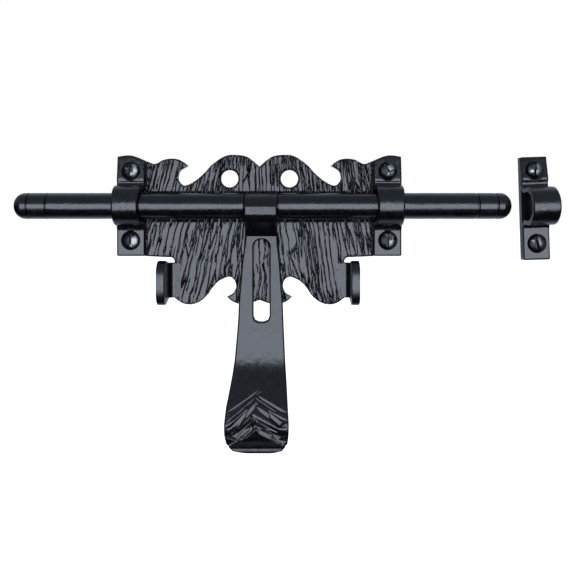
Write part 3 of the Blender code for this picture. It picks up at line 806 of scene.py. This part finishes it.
def fillet_centre(front, arch_radius):
    """The upper fillet's centre, as (y, z), and the angle in degrees at which the bar's axis sees it."""
    y = front - ARCH_FILLET
    z = math.sqrt((arch_radius + ARCH_FILLET) ** 2 - (y - BAR_AXIS_Y) ** 2)
    return (y, z), math.degrees(math.atan2(z, y - BAR_AXIS_Y))


def bridge_profile(back, front, top, foot, arch_radius, tunnel):
    """The side view of pads with an arch over the bar, as (y, z) points. tunnel is the inner line."""
    centre, lean = fillet_centre(front, arch_radius)
    upper = arc(centre, ARCH_FILLET, 0, lean - 180, 10)
    crown = arc((BAR_AXIS_Y, 0), arch_radius, lean, 360 - lean, 48)
    lower = [(y, -z) for y, z in reversed(upper)]
    top_edge = [(back, top), *arc((front + PAD_EDGE, top - PAD_EDGE), PAD_EDGE, 90, 180, 4)]
    foot_edge = [*arc((front + PAD_EDGE, foot + PAD_EDGE), PAD_EDGE, 180, 270, 4), (back, foot)]
    return [*top_edge, *upper, *crown[1:-1], *lower, *foot_edge, *tunnel]


def pad_lean(z, pad_start, slope):
    """How far a pad's front is set back, or forward: the upper pad leans up, and rolls over at its foot."""
    return slope * (z - 1.5 * pad_start) * ease((z - pad_start) / PAD_ROLL)


def stretched(z):
    """The guides' heights on the arch: its shoulders stand a little higher, its lower fillet lower."""
    if z > 0:
        return z + SHOULDER_RISE * ease(z / ARCH_RADIUS)
    return z - FILLET_DROP * ease((-z - 0.85 * ARCH_RADIUS) / (0.35 * ARCH_RADIUS))


def guide(side, material):
    """A guide staple: two pads and the arch over the bar, the upper pad cut to the plate's outline."""
    name = "left_guide_staple" if side < 0 else "right_guide_staple"
    back = -PLATE_THICKNESS - GUIDE_GAP
    tunnel = arc((BAR_AXIS_Y, 0), TUNNEL_RADIUS, 270, 90, 36)
    tunnel = [(back, -TUNNEL_RADIUS), *tunnel, (back, TUNNEL_RADIUS)]
    profile = bridge_profile(back, GUIDE_FRONT_Y, GUIDE_TOP_Z, GUIDE_FOOT_Z, ARCH_RADIUS, tunnel)
    crown = BAR_AXIS_Y - ARCH_RADIUS
    pad_start = ARCH_RADIUS + ARCH_FILLET
    pad_foot = -pad_start - FILLET_DROP
    edge = [(x * MM, z * MM) for x, z in smooth_curve(PLATE_OUTLINE[1], OUTLINE_STEPS)]
    edge += [(PLATE_OUTLINE[1][-1][0] * MM, PLATE_OUTLINE[1][-1][1] * MM)]

    def top_at(x):
        for (ax, az), (bx, bz) in zip(edge, edge[1:]):
            if ax <= x <= bx:
                return mix(az, bz, (x - ax) / (bx - ax))
        return edge[-1][1]

    def place(y, z, share, inward, facing):
        lean = clamp((GUIDE_FRONT_Y - y) / (GUIDE_FRONT_Y - crown))
        half = mix(GUIDE_HALF_WIDTH, CROWN_HALF_WIDTH, lean)
        x = mix(-half, half, share) + inward
        if z > pad_start:
            top = min(top_at(GUIDE_X + side * x), GUIDE_TOP_Z)
            z = mix(stretched(pad_start), top, (z - pad_start) / (GUIDE_TOP_Z - pad_start))
        elif z < -pad_start:
            z = mix(pad_foot, GUIDE_FOOT_Z, (-pad_start - z) / (-pad_start - GUIDE_FOOT_Z))
        else:
            z = stretched(z)
        if facing[0] < 0:
            y += GUIDE_UNEVENNESS * abs(lumps(side * GUIDE_X + x, y, z, 4 * MM))
            y += pad_lean(z, pad_start, GUIDE_PAD_LEAN)
        return side * GUIDE_X + x, y, z

    outline = spaced(profile, PROFILE_SPACING)
    obj = rounded_slab(f"{name}_painted", outline, GUIDE_ROUNDING, SLAB_COLUMNS, place, material, back)
    spots = [(side * GUIDE_X, z) for z in GUIDE_SCREW_Z]
    carve(obj, [sink_cutter(x, GUIDE_FRONT_Y, z, PLATE_THICKNESS + CUT_MARGIN) for x, z in spots])
    stand_in_for(name, obj, "root")


def keeper_spots():
    """Where the keeper's two screws stand, as (x, z)."""
    heights = (KEEPER_SCREW_Z, -KEEPER_SCREW_Z)
    return [(KEEPER_X - z * math.sin(KEEPER_TILT), z * math.cos(KEEPER_TILT)) for z in heights]


def keeper_opening():
    """The space between the keeper's base bar and its arch, as (y, z): the arch's wall is even."""
    centre, lean = fillet_centre(-KEEPER_THICKNESS, KEEPER_ARCH_RADIUS)
    flare = ARCH_FILLET + KEEPER_WALL
    start = -math.degrees(math.acos((-KEEPER_BASE_THICKNESS - centre[0]) / flare))
    upper = arc(centre, flare, start, lean - 180, 10)
    crown = arc((BAR_AXIS_Y, 0), KEEPER_ARCH_RADIUS - KEEPER_WALL, lean, 360 - lean, 48)
    return [*upper, *crown[1:-1], *((y, -z) for y, z in reversed(upper))]


def keeper(material):
    """The keeper's one casting, standing slightly out of square, its arch flaring into its pads."""
    profile = bridge_profile(0, -KEEPER_THICKNESS, KEEPER_TOP_Z, KEEPER_FOOT_Z, KEEPER_ARCH_RADIUS, [])
    tilt = Matrix.Rotation(-KEEPER_TILT, 3, "Y")
    pad_start = KEEPER_ARCH_RADIUS + ARCH_FILLET

    def place(y, z, share, inward, facing):
        x = mix(-KEEPER_HALF_WIDTH, KEEPER_HALF_WIDTH, share) + inward
        if facing[0] < 0:
            y += KEEPER_UNEVENNESS * abs(lumps(x, y, z, 5 * MM)) + pad_lean(z, pad_start, KEEPER_PAD_LEAN)
        return tilt @ Vector((x, y, z)) + Vector((KEEPER_X, 0, 0))

    outline = spaced(profile, PROFILE_SPACING)
    obj = rounded_slab("keeper_casting", outline, KEEPER_ROUNDING, SLAB_COLUMNS, place, material, 0)
    reach = KEEPER_HALF_WIDTH + CUT_MARGIN
    opening = prism_cutter(keeper_opening(), (-reach, reach), lambda y, z, x: (x, y, z))
    opening.rotation_euler.y = -KEEPER_TILT
    opening.location.x = KEEPER_X
    depth = KEEPER_THICKNESS + CUT_MARGIN
    carve(obj, [opening, *(sink_cutter(x, -KEEPER_THICKNESS, z, depth) for x, z in keeper_spots())])
    stand_in_for("keeper", obj, "root")


# ---------------------------------------------------------------- bolt bar

def bar_end(sign):
    """One rounded end with its two grooves, from the tip inwards, as (along, radius)."""
    end = (BAR_HIGH.x - BAR_LOW.x) / 2
    points = [(end - BAR_NOSE * (1 - math.cos(a)), BAR_RADIUS * math.sin(a))
              for a in (math.radians(90) * i / 14 for i in range(15))]
    points[0] = (end, 0)
    for from_tip in BAR_GROOVES_FROM_TIP:
        for step in range(9):
            share = step / 8
            depth = BAR_GROOVE_DEPTH * math.sin(math.pi * share) ** 0.6
            points.append((end - from_tip + BAR_GROOVE_HALF_WIDTH * (1 - 2 * share), BAR_RADIUS - depth))
    return [(sign * along, radius) for along, radius in points]


def bolt_bar(material):
    """The drawn bar, slightly uneven under its paint, with the neck that carries the handle."""
    centre = (middle("bolt_bar").x, BAR_AXIS_Y, 0)
    neck_middle, soft = HANDLE_X - centre[0], BAR_EDGE
    low, high = neck_middle - NECK_HALF_LENGTH, neck_middle + NECK_HALF_LENGTH
    ends = bar_end(-1), bar_end(1)[::-1]

    def run(start, stop, radius):
        count = math.ceil(abs(stop - start) / (2 * MM))
        return [(mix(start, stop, i / count), radius) for i in range(1, count)]

    profile = [
        *ends[0], *run(ends[0][-1][0], low - soft, BAR_RADIUS),
        (low - soft, BAR_RADIUS), (low - soft / 3, BAR_RADIUS - soft / 3), (low, BAR_RADIUS - soft),
        (low, NECK_RADIUS), *run(low, high, NECK_RADIUS), (high, NECK_RADIUS),
        (high, BAR_RADIUS - soft), (high + soft / 3, BAR_RADIUS - soft / 3), (high + soft, BAR_RADIUS),
        *run(high + soft, ends[1][0][0], BAR_RADIUS), *ends[1],
    ]

    def shape(along, radius, turn):
        u, v = radius * math.cos(turn), radius * math.sin(turn)
        dents = 0.10 * abs(lumps(along, u, v, 7 * MM)) + 0.06 * abs(lumps(along / 2, u, v, 2.5 * MM))
        return radius - dents * MM

    obj = new_object("drawn_bar", turned_bmesh(profile, 96, "X", centre, shape), material)
    stand_in_for("bolt_bar", obj, "bolt")


# ---------------------------------------------------------------- toggle handle

def edge_at(z, side):
    """The handle's left (1) or right (2) edge at a height, read from HANDLE_EDGES."""
    z_mm = clamp(z / MM, HANDLE_EDGES[-1][0], HANDLE_EDGES[0][0])
    upper, lower = next(pair for pair in zip(HANDLE_EDGES, HANDLE_EDGES[1:]) if z_mm >= pair[1][0])
    return mix(upper[side], lower[side], (upper[0] - z_mm) / (upper[0] - lower[0])) * MM


def handle_profile():
    """The handle's side view as (y, z) from the eye's axis: the back first, down, then up the front."""
    front = STRAP_BACK - STRAP_THICKNESS
    sweep = [(STRAP_BACK + y * MM, z * MM) for y, z in HANDLE_SWEEP]
    rise = [(y - STRAP_THICKNESS, z + SWEEP_LEAN) for y, z in reversed(sweep[1:-1])]
    down = smooth_curve(sweep, 6)
    up = [*smooth_curve([*rise, (front, sweep[0][1])], 6), (front, sweep[0][1])]
    lip = [(STRAP_BACK + y * MM, z * MM) for y, z in HANDLE_LIP]
    head = [(y * MM, z * MM) for y, z in HANDLE_HEAD]
    outline = [*arc((0, 0), EYE_RADIUS, 105, 0, 24), *down, sweep[-1], *lip, *up, (front, HEAD_FOOT_Z), *head]
    return spaced(outline, lambda z: CHISEL_SPACING if z < CHISEL_TOP_Z else HANDLE_SPACING)


def hollow_depth(z_mm):
    """The hollow above the handle's lip: it deepens evenly, then ends in a steep wall facing up."""
    start, deepest, end = HOLLOW
    falling = clamp((start - z_mm) / (start - deepest))
    rising = clamp((z_mm - end) / (deepest - end))
    return HOLLOW_DEPTH * min(falling, rising)


def chisel_depth(x, z):
    """How deep the hollow and the chisel cuts are at a point, in metres, x and z from the eye's axis."""
    total = hollow_depth(z / MM)
    for x0, z0, x1, z1, start_size, end_size, section in CHISEL_CUTS:
        dx, dz = x1 - x0, z1 - z0
        length = math.hypot(dx, dz)
        px, pz = x / MM - x0, z / MM - z0
        along = (px * dx + pz * dz) / length**2
        below = (px * dz - pz * dx) * math.copysign(1, dx) / length
        size = mix(start_size, end_size, along) * clamp(min(along, 1.04 - along) / 0.22) ** 0.6
        if size <= 0 or below <= 0:
            continue
        for width, gain in section:
            total += size * gain * clamp(below / (width * size))
            below -= width * size
    return min(total, CHISEL_MOST) * MM


def toggle_handle(material):
    """The forged handle: eye and head, slotted strap, and a flared end dressed with a chisel."""
    def place(y, z, share, inward, facing):
        x = mix(edge_at(z, 1), edge_at(z, 2), share) + inward
        if facing[0] < -0.3:
            y += HANDLE_UNEVENNESS * abs(lumps(x, 5 * MM, z, 6 * MM))
            y += chisel_depth(x, z)
        return HANDLE_X + x, BAR_AXIS_Y + y, z

    obj = rounded_slab("forged_handle", handle_profile(), HANDLE_ROUNDING, HANDLE_COLUMNS, place, material)
    reach = 12 * MM
    bore = [(-reach, 0), (-reach, EYE_BORE_RADIUS), (reach, EYE_BORE_RADIUS), (reach, 0)]
    half, corner = SLOT_HALF_WIDTH, SLOT_CORNER
    slot = arc((HANDLE_X, SLOT_TOP_Z - half), half, 0, 180, 20)
    slot += arc((HANDLE_X - half + corner, SLOT_BOTTOM_Z + corner), corner, 180, 270, 2)
    slot += arc((HANDLE_X + half - corner, SLOT_BOTTOM_Z + corner), corner, 270, 360, 2)
    edge_y = BAR_AXIS_Y + STRAP_BACK - STRAP_THICKNESS + SLOT_CHAMFER
    middle_z, half_length = (SLOT_TOP_Z + SLOT_BOTTOM_Z) / 2, (SLOT_TOP_Z - SLOT_BOTTOM_Z) / 2

    def flared(x, z, y):
        """The slot's outline, growing in front of edge_y so that it bevels the slot's front edge."""
        growth = max(0, edge_y - y)
        return mix(HANDLE_X, x, 1 + growth / half), y, mix(middle_z, z, 1 + growth / half_length)

    carve(obj, [
        new_object("cutter", turned_bmesh(bore, 72, "X", (HANDLE_X, BAR_AXIS_Y, 0)), None),
        prism_cutter(slot, (edge_y - 2 * SLOT_CHAMFER, edge_y, 0), flared),
    ])
    stand_in_for("toggle_handle", obj, "handle")


# ---------------------------------------------------------------- screws

def screw(node, x, z, face, degrees, material):
    """A slotted wood screw with a raised head and a rolled thread, its slot turned by some degrees."""
    dome = [(-SCREW_DOME * math.cos(a), SCREW_HEAD_RADIUS * math.sin(a))
            for a in (math.radians(90) * i / 10 for i in range(11))]
    dome[0] = (-SCREW_DOME, 0)
    neck = SCREW_HEAD_RADIUS - SCREW_SHANK_RADIUS
    steps = 110
    shank = [(mix(neck, SCREW_LENGTH, i / steps), SCREW_SHANK_RADIUS) for i in range(steps)]

    def shape(along, radius, turn):
        if along <= neck:
            return radius
        radius *= clamp((SCREW_LENGTH - along) / SCREW_POINT, 0.04, 1) ** 0.8
        phase = (along / THREAD_PITCH - turn / (2 * math.pi)) % 1
        ridge = 1 - min(1, abs(phase - 0.5) / 0.3)
        depth = THREAD_DEPTH * (1 - ridge) * ease((along - THREAD_START) / MM)
        return radius - depth * min(1, radius / SCREW_SHANK_RADIUS)

    place = (x, face + SCREW_SUNK, z)
    profile = [*dome, (SCREW_RIM, SCREW_HEAD_RADIUS), *shank, (SCREW_LENGTH, 0)]
    obj = new_object(f"{node}_worn", turned_bmesh(profile, 32, "Y", place, shape), material)
    half, reach = SCREW_SLOT_WIDTH / 2, SCREW_HEAD_RADIUS + CUT_MARGIN
    outline = [(-half, -reach), (half, -reach), (half, reach), (-half, reach)]
    slot = prism_cutter(outline, (-2 * CUT_MARGIN, SCREW_SLOT_FLOOR), upright)
    slot.rotation_euler.y = math.radians(degrees)
    slot.location = place
    carve(obj, [slot])
    stand_in_for(node, obj, "root")


def screws(material):
    """The six screws, each in its countersink."""
    guide_spots = [(side * GUIDE_X, z) for side in (-1, 1) for z in GUIDE_SCREW_Z]
    for number, ((x, z), turn) in enumerate(zip(guide_spots, GUIDE_SLOT_TURNS), 1):
        screw(f"guide_screw_{number}", x, z, GUIDE_FRONT_Y, turn, material)
    for number, ((x, z), turn) in enumerate(zip(keeper_spots(), KEEPER_SLOT_TURNS), 1):
        screw(f"keeper_screw_{number}", x, z, -KEEPER_THICKNESS, turn, material)


# ---------------------------------------------------------------- studio

def studio_camera():
    """Straight in front of the plate, 392 mm away, its frame set a little low as in a cropped picture."""
    camera = bpy.data.cameras.new("camera")
    camera.sensor_width = 36
    camera.lens = CAMERA_LENS
    camera.shift_y = CAMERA_SHIFT
    camera.clip_start = 0.01
    obj = bpy.data.objects.new("camera", camera)
    obj.location = CAMERA_PLACE
    obj.rotation_euler = (math.radians(90), 0, 0)
    bpy.context.scene.collection.objects.link(obj)
    bpy.context.scene.camera = obj


def softbox(name, elevation, distance, width, height, radiance):
    """A rectangular light that faces the object, which no camera sees. Elevation 0 is straight in front."""
    light = bpy.data.lights.new(name, "AREA")
    light.shape = "RECTANGLE"
    light.size, light.size_y = width, height
    light.energy = radiance * math.pi * width * height
    light.color = LIGHT_TINT
    obj = bpy.data.objects.new(name, light)
    turn = Matrix.Rotation(math.radians(-elevation), 4, "X")
    aim = Matrix.Rotation(math.radians(90), 4, "X")
    obj.matrix_world = turn @ Matrix.Translation((0, -distance, 0)) @ aim
    obj.visible_camera = False
    bpy.context.scene.collection.objects.link(obj)


def studio():
    """A pale floor and surround, a broad soft light in front, and a weak one above and behind.

    What the object reflects is dim above, nearly black below, and brighter low behind it.
    """
    bpy.context.scene.view_settings.view_transform = "Standard"
    softbox("front_light", elevation=-6, distance=1.4, width=2.3, height=1.05, radiance=4.9)
    softbox("top_light", elevation=125, distance=1.4, width=2.4, height=1.2, radiance=0.4)
    world = bpy.data.worlds.new("studio")
    bpy.context.scene.world = world
    world.use_nodes = True
    tree = world.node_tree
    background = tree.nodes["Background"]
    coords = tree.nodes.new("ShaderNodeTexCoord")
    split = tree.nodes.new("ShaderNodeSeparateXYZ")
    tree.links.new(coords.outputs["Generated"], split.inputs["Vector"])
    low_behind = tree.nodes.new("ShaderNodeVectorMath")
    low_behind.operation = "DOT_PRODUCT"
    tree.links.new(coords.outputs["Generated"], low_behind.inputs[0])
    low_behind.inputs[1].default_value = LOW_BEHIND
    above = spread(tree, split.outputs["Z"], 0.0, 0.35, GLOW_BELOW, GLOW_ABOVE)
    behind = spread(tree, low_behind.outputs["Value"], 0.62, 1.1, 0.0, GLOW_BEHIND)
    total = tree.nodes.new("ShaderNodeMath")
    tree.links.new(above, total.inputs[0])
    tree.links.new(behind, total.inputs[1])
    seen = tree.nodes.new("ShaderNodeLightPath").outputs["Is Camera Ray"]
    glow = tree.nodes.new("ShaderNodeMix")
    tree.links.new(seen, glow.inputs["Factor"])
    tree.links.new(total.outputs["Value"], glow.inputs["A"])
    glow.inputs["B"].default_value = 1.0
    tree.links.new(glow.outputs["Result"], background.inputs["Strength"])
    tint = tree.nodes.new("ShaderNodeMix")
    tint.data_type = "RGBA"
    tree.links.new(seen, tint.inputs["Factor"])
    tint.inputs["A"].default_value = SURROUND_TINT
    tint.inputs["B"].default_value = WHITE
    tree.links.new(tint.outputs["Result"], background.inputs["Color"])

    bm = bmesh.new()
    bmesh.ops.create_circle(bm, cap_ends=True, segments=96, radius=FLOOR_RADIUS)
    bmesh.ops.translate(bm, verts=bm.verts, vec=(0, 0, FLOOR_Z))
    floor = new_object("pale_floor", bm, pale_studio())
    for ray in ("diffuse", "glossy", "transmission", "shadow"):
        setattr(floor, f"visible_{ray}", False)


# ---------------------------------------------------------------- build

studio_camera()
studio()
smooth_iron = painted_iron("smooth_black_iron", 0.22, 3.0 * MM, 0.08 * MM, 0.013 * MM)
grained_plate(painted_iron("grained_black_iron", 0.26, 1.2 * MM, 0.05 * MM, 0.015 * MM, (3, 1, 0.6)))
guide(-1, smooth_iron)
guide(1, smooth_iron)
keeper(painted_iron("cast_black_iron", 0.23, 2.4 * MM, 0.09 * MM, 0.016 * MM))
bolt_bar(painted_iron("drawn_black_iron", 0.22, 2.2 * MM, 0.05 * MM, 0.012 * MM, (0.3, 1, 1)))
toggle_handle(painted_iron("forged_black_iron", 0.22, 3.5 * MM, 0.08 * MM, 0.012 * MM, ior=1.5))
screws(worn_screw_steel_and_highlight())
